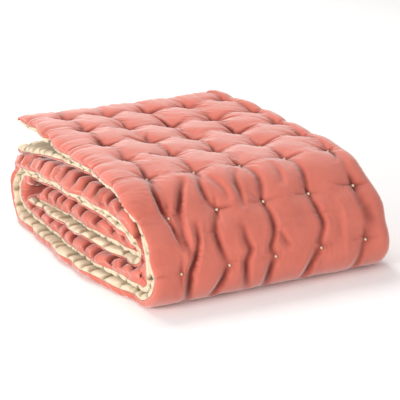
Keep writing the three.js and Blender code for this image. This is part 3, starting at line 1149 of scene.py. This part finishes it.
@dataclass
class QuiltSheet:
    """One of the quilt's two cloths, as a fine sheet on the folds."""

    name: str
    node: str
    cloth: Cloth
    folds: Folds
    feel: ClothFeel
    flat: tuple[float, float]
    most_faces: int

    # Spare cloth and wadding.
    ROUGH_CELLS = (330, 140)
    PATCH_CELLS = (46, 20)
    PATCHINESS = 0.35
    TUFT_REACH = 20.0
    DRAWN_FILLING = 0.25
    CREASED_FILLING = 0.3
    FULL_CREASE = 3.0
    FOLD_RADIUS = 10.0

    # Least and most distance from the middle of the quilt's thickness.
    LEAST_HEIGHT = 1.0
    HEM_HEIGHT = 0.2
    HEM_SLOPE = 4
    COTTON_RISE = 1.5
    COTTON_GAP = 0.35
    VELVET_RISE = 6.0
    VELVET_GAP = 0.2
    LEAST_RISE = 0.3

    # Where shade is painted into the cloth's colour, in its creases and tufts' pits, and where the
    # cloth is covered.
    HOLLOW_SHADE_REACHES = ((2, 1.7), (5, 4.6))
    HOLLOW_SHADE_POWER = 1.2
    HEM_CLEAR = 8.0
    HEM_FADE = 6.0
    PIT_SHADE = 0.85
    PIT_RADIUS = 7.5
    COVERED_MARGIN = 56.0

    def __post_init__(self) -> None:
        """Lets the cloth settle."""
        self.settled = self.relaxed()

    def tufts(self) -> np.ndarray:
        """Marks the points that a tuft holds.

        Returns:
            True at the tufts.
        """
        row, column = self.folds.row, self.folds.column
        whole_row = np.abs(row - np.round(row)) < 1e-6
        whole_column = np.abs(column - np.round(column)) < 1e-6
        return whole_row & whole_column & ~self._on_fold()[None, :]

    def _held(self) -> np.ndarray:
        """Marks the points that a tuft or a hem's edge holds.

        Returns:
            True at the tufts and along all four edges.
        """
        held = self.tufts()
        held[0] = held[-1] = True
        held[:, 0] = held[:, -1] = True
        return held

    def _on_fold(self) -> np.ndarray:
        """Marks the columns of points on the lengthwise fold."""
        return self.folds.spacing.fold_share > 0.99

    def _from_hem(self) -> np.ndarray:
        """Gives each point's distance from the nearest hem."""
        return np.minimum(np.minimum(self.folds.from_side_hem, 1e3), self.folds.from_end_hem)

    def _room(self, depth: np.ndarray) -> np.ndarray:
        """Gives how far each point may stand from the middle of the thickness.

        Args:
            depth: How far each point lies from it.

        Returns:
            The most distance.
        """
        if self.cloth is Cloth.COTTON:
            return np.minimum(depth + self.COTTON_RISE, self.folds.read["spread"] - self.COTTON_GAP)
        least = np.maximum(self.folds.room() - self.VELVET_GAP, depth + self.LEAST_RISE)
        return np.minimum(depth + self.VELVET_RISE, least)

    def relaxed(self) -> np.ndarray:
        """Lays the cloth on the folds and lets it settle.

        Returns:
            Its points.
        """
        middle, out = self.folds.directions(self.cloth)
        depth = self.folds.depth(self.cloth)
        shape = depth.shape
        feel = self.feel
        rough = smooth_noise(shape, self.ROUGH_CELLS, feel.seed) * feel.unevenness
        rounding = self.folds.tufting.rounding(
            np.minimum(self.folds.from_side_hem, self.folds.from_end_hem)
        )
        start = middle + out * (depth + rough * rounding)[..., None]
        drawn = self.folds.drawn_in()
        if self.cloth is Cloth.VELVET:
            start = self.folds.rolled(start, drawn)
        patchy = smooth_noise(shape, self.PATCH_CELLS, feel.seed + 1)
        side = np.exp(-(self.folds.from_side_hem / feel.hem_slack_width) ** 2)
        end = np.exp(-(self.folds.from_end_hem / feel.hem_slack_width) ** 2)
        at_tuft = np.exp(-(self.folds.from_tuft() / self.TUFT_REACH) ** 2)
        slack = feel.slack * (1 + self.PATCHINESS * patchy) + feel.tuft_slack * at_tuft
        filling = feel.filling + self.DRAWN_FILLING * drawn
        if self.cloth is Cloth.VELVET:
            creased = np.clip(self.folds.creased() / self.FULL_CREASE, 0, 1)
            filling += self.CREASED_FILLING * creased
        low = np.minimum(self.LEAST_HEIGHT, self.HEM_HEIGHT + self._from_hem() / self.HEM_SLOPE)
        return Relaxation(
            start, middle, out, self._held(), low=np.minimum(low, depth),
            high=self._room(depth), filling=filling,
            slack_along=slack + feel.hem_slack * side,
            slack_across=slack + feel.hem_slack * end, feel=feel,
        ).run()

    def build(self) -> bpy.types.Object:
        """Makes the sheet's object.

        Returns:
            The object, with a UV map that measures the flat cloth in metres.
        """
        points = self.settled
        rows, columns = points.shape[:2]
        bm = bmesh.new()
        bmesh.ops.create_grid(bm, x_segments=columns - 1, y_segments=rows - 1, size=0.5)
        mesh = finished_mesh(bm, self.name)
        grid = np.empty(len(mesh.vertices) * 3)
        mesh.vertices.foreach_get("co", grid)
        grid = grid.reshape(-1, 3)
        across = np.rint((grid[:, 0] + 0.5) * (columns - 1)).astype(int)
        along = np.rint((grid[:, 1] + 0.5) * (rows - 1)).astype(int)
        middle = (*self.folds.pile.middle, 0.0)
        placed = (points[along, across] - middle) * MM
        mesh.vertices.foreach_set("co", placed.astype(np.float32).ravel())
        self._map_flat(mesh, along, across)
        # Painted shade: how dark each point's colour is painted in the creases and tufts' pits.
        painted_hollow_shade = mesh.attributes.new("painted_hollow_shade", "FLOAT", "POINT")
        painted_hollow_shade.data.foreach_set("value", self.hollow_shade_mask(points)[along, across].astype(np.float32))
        mesh.polygons.foreach_set("use_smooth", np.ones(len(mesh.polygons), bool))
        if self.cloth is Cloth.VELVET:
            mesh.flip_normals()
        mesh.update()
        piece = linked(mesh)
        self._thin_out(piece, along, across)
        return piece

    def _thin_out(self, piece: bpy.types.Object, along: np.ndarray, across: np.ndarray) -> None:
        """Takes faces out where the cloth lies inside the pile.

        Args:
            piece: The sheet's object.
            along: Each vertex's row in the grid of points.
            across: Each vertex's column in it.
        """
        faces = 2 * len(piece.data.polygons)
        if faces <= self.most_faces:
            return
        hidden = np.flatnonzero(self._inside_pile()[along, across])
        group = piece.vertex_groups.new(name="inside_pile")
        group.add(hidden.tolist(), 1.0, "REPLACE")
        thinning = piece.modifiers.new("thinning", "DECIMATE")
        thinning.ratio = self.most_faces / faces
        thinning.vertex_group = group.name
        evaluated = piece.evaluated_get(bpy.context.evaluated_depsgraph_get())
        full = piece.data
        piece.data = bpy.data.meshes.new_from_object(evaluated)
        piece.modifiers.clear()
        piece.vertex_groups.clear()
        bpy.data.meshes.remove(full)

    def _inside_pile(self) -> np.ndarray:
        """Marks the points that lie inside the pile, well away from its open hems.

        Returns:
            True inside the pile, and on all of the backing but its hems.
        """
        margin = self.COVERED_MARGIN
        away = (self.folds.from_side_hem > margin) & (self.folds.from_end_hem > margin)
        covered = self.folds.room() < self.folds.FACING
        backing = self.cloth is Cloth.COTTON
        return away & (covered | backing)

    def _map_flat(self, mesh: bpy.types.Mesh, along: np.ndarray, across: np.ndarray) -> None:
        """Gives the mesh a UV map of the flat cloth.

        Args:
            mesh: The sheet's mesh.
            along: Each vertex's row in the grid of points.
            across: Each vertex's column in it.
        """
        s = self.folds.spacing
        v = s.travelled * MM
        base = self.folds.base[len(s.travelled) // 2]
        step = np.abs(np.diff(base)) + np.diff(s.angle) * self.FOLD_RADIUS
        u = np.concatenate([[0], np.cumsum(step)]) * MM
        loops = np.empty(len(mesh.loops), int)
        mesh.loops.foreach_get("vertex_index", loops)
        layer = mesh.uv_layers.new(name="flat_cloth")
        flat = np.stack([u[across[loops]], v[along[loops]]], axis=1)
        layer.data.foreach_set("uv", flat.astype(np.float32).ravel())

    def hollow_shade_mask(self, points: np.ndarray) -> np.ndarray:
        """Finds how much shade to paint into the colour at each point, from how deep it lies in a
        crease or a tuft's pit.

        Args:
            points: The settled points.

        Returns:
            Shares of painted shade, 0 on open cloth and 1 deep in a crease or a pit.
        """
        middle, out = self.folds.directions(self.cloth)
        height = ((points - middle) * out).sum(-1)
        side = np.clip((self.folds.from_side_hem - self.HEM_CLEAR) / self.HEM_FADE, 0, 1)
        end = np.clip((self.folds.from_end_hem - self.HEM_CLEAR) / self.HEM_FADE, 0, 1)
        # Painted shade grows with how far a point dips below its neighbours, along the cloth and
        # across it, but not at the hems.
        deep = np.zeros(height.shape)
        for reach, most in self.HOLLOW_SHADE_REACHES:
            ahead = self._dip(height, reach) * end
            aside = self._dip(height.T, reach).T * side
            deep = np.maximum(deep, np.maximum(ahead, aside) / most)
        for _ in range(2):
            deep[1:-1] = (deep[2:] + 2 * deep[1:-1] + deep[:-2]) / 4
            deep[:, 1:-1] = (deep[:, 2:] + 2 * deep[:, 1:-1] + deep[:, :-2]) / 4
        # Painted shade in each tuft's pit, less where the cloth is stretched.
        at_tuft = np.exp(-(self.folds.from_tuft() / self.PIT_RADIUS) ** 2)
        pit = self.PIT_SHADE * (1 - self.folds.read["taut"]) * at_tuft
        return np.maximum(np.clip(deep, 0, 1) ** self.HOLLOW_SHADE_POWER, pit)

    @staticmethod
    def _dip(height: np.ndarray, reach: int) -> np.ndarray:
        """Gives how far each height lies under its neighbours on the first axis.

        Args:
            height: The heights.
            reach: How many points away the neighbours are.

        Returns:
            The dips, none of them below zero.
        """
        dip = np.zeros(height.shape)
        around = np.minimum(height[2 * reach:], height[:-2 * reach])
        dip[reach:-reach] = np.maximum(around - height[reach:-reach], 0)
        return dip


@dataclass(frozen=True)
class TuftThreads:
    """The thread of every tuft: two short strands side by side and a small knot on them."""

    strand_radius: float = 1.1
    strand_length: float = 5.2
    knot_radius: float = 1.8
    apart: float = 1.1
    raised: float = 1.4
    knot_raised: float = 0.5
    spread: float = 0.25
    slant: float = 24.0
    slant_varies: float = 12.0
    seed: int = 17

    def build(self, velvet: QuiltSheet) -> bpy.types.Object:
        """Ties a thread at every tuft.

        Args:
            velvet: The velvet, settled.

        Returns:
            All the threads, as one object.
        """
        folds, points = velvet.folds, velvet.settled
        out = folds.directions(Cloth.VELVET)[1]
        chance = np.random.default_rng(self.seed)
        single = self._single()
        bm = bmesh.new()
        for i, j in np.argwhere(velvet.tufts()):
            up = Vector(out[i, j])
            ahead = Vector(points[i + 1, j] - points[i - 1, j])
            ahead = (ahead - up * ahead.dot(up)).normalized()
            turn = math.radians(chance.normal(self.slant, self.slant_varies))
            turned = Matrix.Rotation(turn, 3, up) @ ahead
            place = Vector(points[i, j] - (*folds.pile.middle, 0.0)) + up * self.raised
            frame = Matrix((turned.cross(up), turned, up)).transposed().to_4x4()
            thread = single.copy()
            thread.transform(Matrix.Translation(place * MM) @ frame)
            bm.from_mesh(thread)
            bpy.data.meshes.remove(thread)
        bpy.data.meshes.remove(single)
        mesh = finished_mesh(bm, "tuft_threads")
        mesh.polygons.foreach_set("use_smooth", np.ones(len(mesh.polygons), bool))
        return linked(mesh)

    def _single(self) -> bpy.types.Mesh:
        """Makes one thread, lying along y.

        Returns:
            Its mesh.
        """
        bm = bmesh.new()
        for side in (-0.5, 0.5):
            spot = Matrix.Translation((self.apart * side * MM, 0, 0))
            spread = Matrix.Rotation(side * self.spread, 4, "Z")
            size = (self.strand_radius, self.strand_length / 2, self.strand_radius)
            self._bead(bm, spot @ spread, size)
        self._bead(bm, Matrix.Translation((0, 0, self.knot_raised * MM)), (self.knot_radius,) * 3)
        return finished_mesh(bm, "tuft_thread")

    @staticmethod
    def _bead(bm: bmesh.types.BMesh, place: Matrix, size: tuple[float, float, float]) -> None:
        """Adds an elongated bead.

        Args:
            bm: The bmesh to add it to.
            place: Its place and turn, in metres.
            size: Its radii, in millimetres.
        """
        scale = Matrix.Diagonal((*(MM * part for part in size), 1.0))
        bmesh.ops.create_uvsphere(bm, u_segments=6, v_segments=4, radius=1.0,
                                  matrix=place @ scale)


@dataclass(frozen=True)
class ClothFinish:
    """What both cloths share: soft patches of two tones, and shade painted darker into their
    creases and tufts' pits.
    """

    name: str
    colour: tuple[float, float, float]
    shade: tuple[float, float, float]
    painted_hollow_shade: tuple[float, float, float]
    patches: float
    detail: float
    roughness: float
    specular: float
    sheen: float

    def material(self) -> bpy.types.Material:
        """Builds the node material.

        Returns:
            The material.
        """
        material = bpy.data.materials.new(self.name)
        material.use_nodes = True
        nodes, links = material.node_tree.nodes, material.node_tree.links
        shader = nodes["Principled BSDF"]
        shader.inputs["Roughness"].default_value = self.roughness
        shader.inputs["Sheen Weight"].default_value = self.sheen
        shader.inputs["Specular IOR Level"].default_value = self.specular
        patchy = self._noise(material, self.patches, self.detail)
        mix = nodes.new("ShaderNodeMix")
        mix.data_type = "RGBA"
        mix.inputs["A"].default_value = (*self.shade, 1)
        mix.inputs["B"].default_value = (*self.colour, 1)
        links.new(patchy, mix.inputs["Factor"])
        # Painted shade: the patchy colour is mixed towards a dark colour in the creases and tufts'
        # pits, by the mesh's attribute.
        painted_hollow_shade = nodes.new("ShaderNodeAttribute")
        painted_hollow_shade.attribute_name = "painted_hollow_shade"
        deep = nodes.new("ShaderNodeMix")
        deep.data_type = "RGBA"
        deep.inputs["B"].default_value = (*self.painted_hollow_shade, 1)
        links.new(painted_hollow_shade.outputs["Fac"], deep.inputs["Factor"])
        links.new(mix.outputs["Result"], deep.inputs["A"])
        links.new(deep.outputs["Result"], shader.inputs["Base Color"])
        return material

    @staticmethod
    def _noise(material: bpy.types.Material, scale: float, detail: float) -> bpy.types.NodeSocket:
        """Adds noise on Object coordinates.

        Args:
            material: The material to add it to.
            scale: How fine it is.
            detail: How many finer layers it has.

        Returns:
            The noise's output.
        """
        nodes, links = material.node_tree.nodes, material.node_tree.links
        place = nodes.new("ShaderNodeTexCoord")
        noise = nodes.new("ShaderNodeTexNoise")
        noise.inputs["Scale"].default_value = scale
        noise.inputs["Detail"].default_value = detail
        links.new(place.outputs["Object"], noise.inputs["Vector"])
        return noise.outputs["Fac"]


@dataclass(frozen=True)
class VelvetFinish(ClothFinish):
    """Coral cotton velvet: a dense nap that pales where it is seen aslant."""

    name: str = "coral_velvet"
    colour: tuple[float, float, float] = (0.63, 0.17, 0.122)
    shade: tuple[float, float, float] = (0.50, 0.115, 0.08)
    # Painted shade: the dark colour that the velvet's creases and tufts' pits are painted towards.
    painted_hollow_shade: tuple[float, float, float] = (0.17, 0.022, 0.012)
    patches: float = 26.0
    detail: float = 5.0
    roughness: float = 0.85
    specular: float = 0.2
    sheen: float = 0.85
    sheen_roughness: float = 0.45
    sheen_tint: tuple[float, float, float] = (1.0, 0.88, 0.85)
    pile: float = 900.0
    pile_detail: float = 2.0
    pile_height: float = 0.0006
    pile_strength: float = 0.25

    def material(self) -> bpy.types.Material:
        """Builds the node material, with the nap's short pile as a bump.

        Returns:
            The material.
        """
        material = super().material()
        nodes, links = material.node_tree.nodes, material.node_tree.links
        shader = nodes["Principled BSDF"]
        shader.inputs["Sheen Roughness"].default_value = self.sheen_roughness
        shader.inputs["Sheen Tint"].default_value = (*self.sheen_tint, 1)
        bump = nodes.new("ShaderNodeBump")
        bump.inputs["Strength"].default_value = self.pile_strength
        bump.inputs["Distance"].default_value = self.pile_height
        nap = self._noise(material, self.pile, self.pile_detail)
        links.new(nap, bump.inputs["Height"])
        links.new(bump.outputs["Normal"], shader.inputs["Normal"])
        return material


@dataclass(frozen=True)
class CottonFinish(ClothFinish):
    """Cream cotton, plain woven."""

    name: str = "cream_cotton"
    colour: tuple[float, float, float] = (0.72, 0.61, 0.45)
    shade: tuple[float, float, float] = (0.62, 0.51, 0.36)
    # Painted shade: the dark colour that the cotton's creases and pits are painted towards.
    painted_hollow_shade: tuple[float, float, float] = (0.36, 0.26, 0.15)
    patches: float = 60.0
    detail: float = 4.0
    roughness: float = 0.8
    specular: float = 0.25
    sheen: float = 0.15


@dataclass(frozen=True)
class FloorFinish:
    """A plain pale floor."""

    colour: tuple[float, float, float] = (0.97, 0.97, 0.97)
    roughness: float = 0.9

    def material(self) -> bpy.types.Material:
        """Builds the node material.

        Returns:
            The material.
        """
        material = bpy.data.materials.new("pale_floor")
        material.use_nodes = True
        shader = material.node_tree.nodes["Principled BSDF"]
        shader.inputs["Base Color"].default_value = (*self.colour, 1)
        shader.inputs["Roughness"].default_value = self.roughness
        return material


@dataclass(frozen=True)
class Softbox:
    """A square soft light: its place and size in metres and its power in watts."""

    name: str
    place: tuple[float, float, float]
    size: float
    power: float
    colour: tuple[float, float, float]


@dataclass(frozen=True)
class Studio:
    """The camera of the photograph, soft light and a plain floor."""

    azimuth: float = -27.04
    elevation: float = 19.69
    distance: float = 2.821
    lens: float = 165.33
    sensor: float = 36.0
    target: tuple[float, float, float] = (-0.01585, -0.05562, 0.090)
    softboxes: tuple[Softbox, ...] = (
        Softbox("top_softbox", (0.0, 1.3, 1.9), 1.3, 36.0, (1.0, 0.98, 0.96)),
        Softbox("side_softbox", (-2.3, -0.7, 0.9), 1.0, 46.0, (1.0, 0.98, 0.97)),
        Softbox("front_softbox", (-0.5, -2.6, 0.8), 1.4, 22.0, (1.0, 0.98, 0.97)),
    )
    sky: float = 0.47
    floor_size: float = 6.0

    def view_back(self) -> Vector:
        """Gives the direction from the pile to the camera."""
        a, e = math.radians(self.azimuth), math.radians(self.elevation)
        return Vector((math.sin(a) * math.cos(e), -math.cos(a) * math.cos(e), math.sin(e)))

    def place_camera(self) -> None:
        """Sets up the photograph's camera."""
        data = bpy.data.cameras.new("photo_camera")
        data.lens = self.lens
        data.sensor_width = self.sensor
        camera = bpy.data.objects.new("photo_camera", data)
        back = self.view_back()
        camera.location = Vector(self.target) + back * self.distance
        camera.rotation_euler = back.to_track_quat("Z", "Y").to_euler()
        bpy.context.scene.collection.objects.link(camera)
        bpy.context.scene.camera = camera

    def add_softbox(self, box: Softbox) -> None:
        """Hangs a soft light that points at the pile.

        Args:
            box: The light.
        """
        data = bpy.data.lights.new(box.name, "AREA")
        data.size = box.size
        data.energy = box.power
        data.color = box.colour
        light = bpy.data.objects.new(box.name, data)
        light.location = box.place
        way = Vector(self.target) - Vector(box.place)
        light.rotation_euler = way.to_track_quat("-Z", "Y").to_euler()
        bpy.context.scene.collection.objects.link(light)

    def build(self) -> None:
        """Makes the camera, the lights and the floor."""
        self.place_camera()
        for box in self.softboxes:
            self.add_softbox(box)
        world = bpy.data.worlds.new("studio_world")
        world.use_nodes = True
        sky = world.node_tree.nodes["Background"]
        sky.inputs["Color"].default_value = (1.0, 1.0, 1.0, 1.0)
        sky.inputs["Strength"].default_value = self.sky
        bpy.context.scene.world = world
        bpy.context.scene.view_settings.view_transform = "Standard"
        bm = bmesh.new()
        bmesh.ops.create_grid(bm, x_segments=1, y_segments=1, size=self.floor_size)
        mesh = finished_mesh(bm, "floor")
        mesh.materials.append(FloorFinish().material())
        linked(mesh)


def main() -> None:
    """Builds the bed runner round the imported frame."""
    logging.basicConfig(level=logging.INFO, format="%(name)s: %(message)s")
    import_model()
    Studio().build()
    tufting = Tufting()
    path = FoldPath(FOLD_ROWS)
    pile = PileShape()
    flat = (0.78, round(tufting.length() * MM, 2))
    velvet = QuiltSheet(
        "velvet_cloth", "velvet_face", Cloth.VELVET,
        Folds(path, tufting, pile, Spacing(tufting, (36, 22), 32, 8, 3.0, 12),
              (Puckers((22.0, 44.0), 6.5, (16.0, 38.0), (0.5, 1.0), seed=31),
               Puckers((6.0, 15.0), 3.4, (6.0, 14.0), (0.05, 0.32), seed=32))),
        ClothFeel(slack=0.008, tuft_slack=0.04, hem_slack=0.02, hem_slack_width=22.0,
                  push=0.015, bending=0.005, filling=0.08, rounds=50, unevenness=0.25, seed=5),
        flat, most_faces=190000,
    )
    cotton = QuiltSheet(
        "cotton_cloth", "cotton_backing", Cloth.COTTON,
        Folds(path, tufting, pile, Spacing(tufting, (24, 24), 9, 9, 3.0, 10),
              (Puckers((18.0, 40.0), 5.5, (18.0, 36.0), (0.5, 1.0), seed=47),
               Puckers((7.0, 16.0), 3.6, (8.0, 18.0), (0.1, 0.45), seed=48))),
        ClothFeel(slack=0.03, tuft_slack=0.03, hem_slack=0.09, hem_slack_width=26.0,
                  push=0.04, bending=0.004, filling=0.008, rounds=120, unevenness=0.6, seed=11),
        flat, most_faces=150000,
    )
    finishes = {Cloth.VELVET: VelvetFinish().material(), Cloth.COTTON: CottonFinish().material()}
    for sheet in (velvet, cotton):
        piece = sheet.build()
        piece.data.materials.append(finishes[sheet.cloth])
        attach(piece, "root")
        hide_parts(sheet.node)
        LOG.info("%s: %d faces", sheet.name, len(piece.data.polygons))
    threads = TuftThreads().build(velvet)
    threads.data.materials.append(finishes[Cloth.COTTON])
    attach(threads, "root")
    LOG.info("tuft_threads: %d faces", len(threads.data.polygons))


if __name__ == "__main__":
    main()
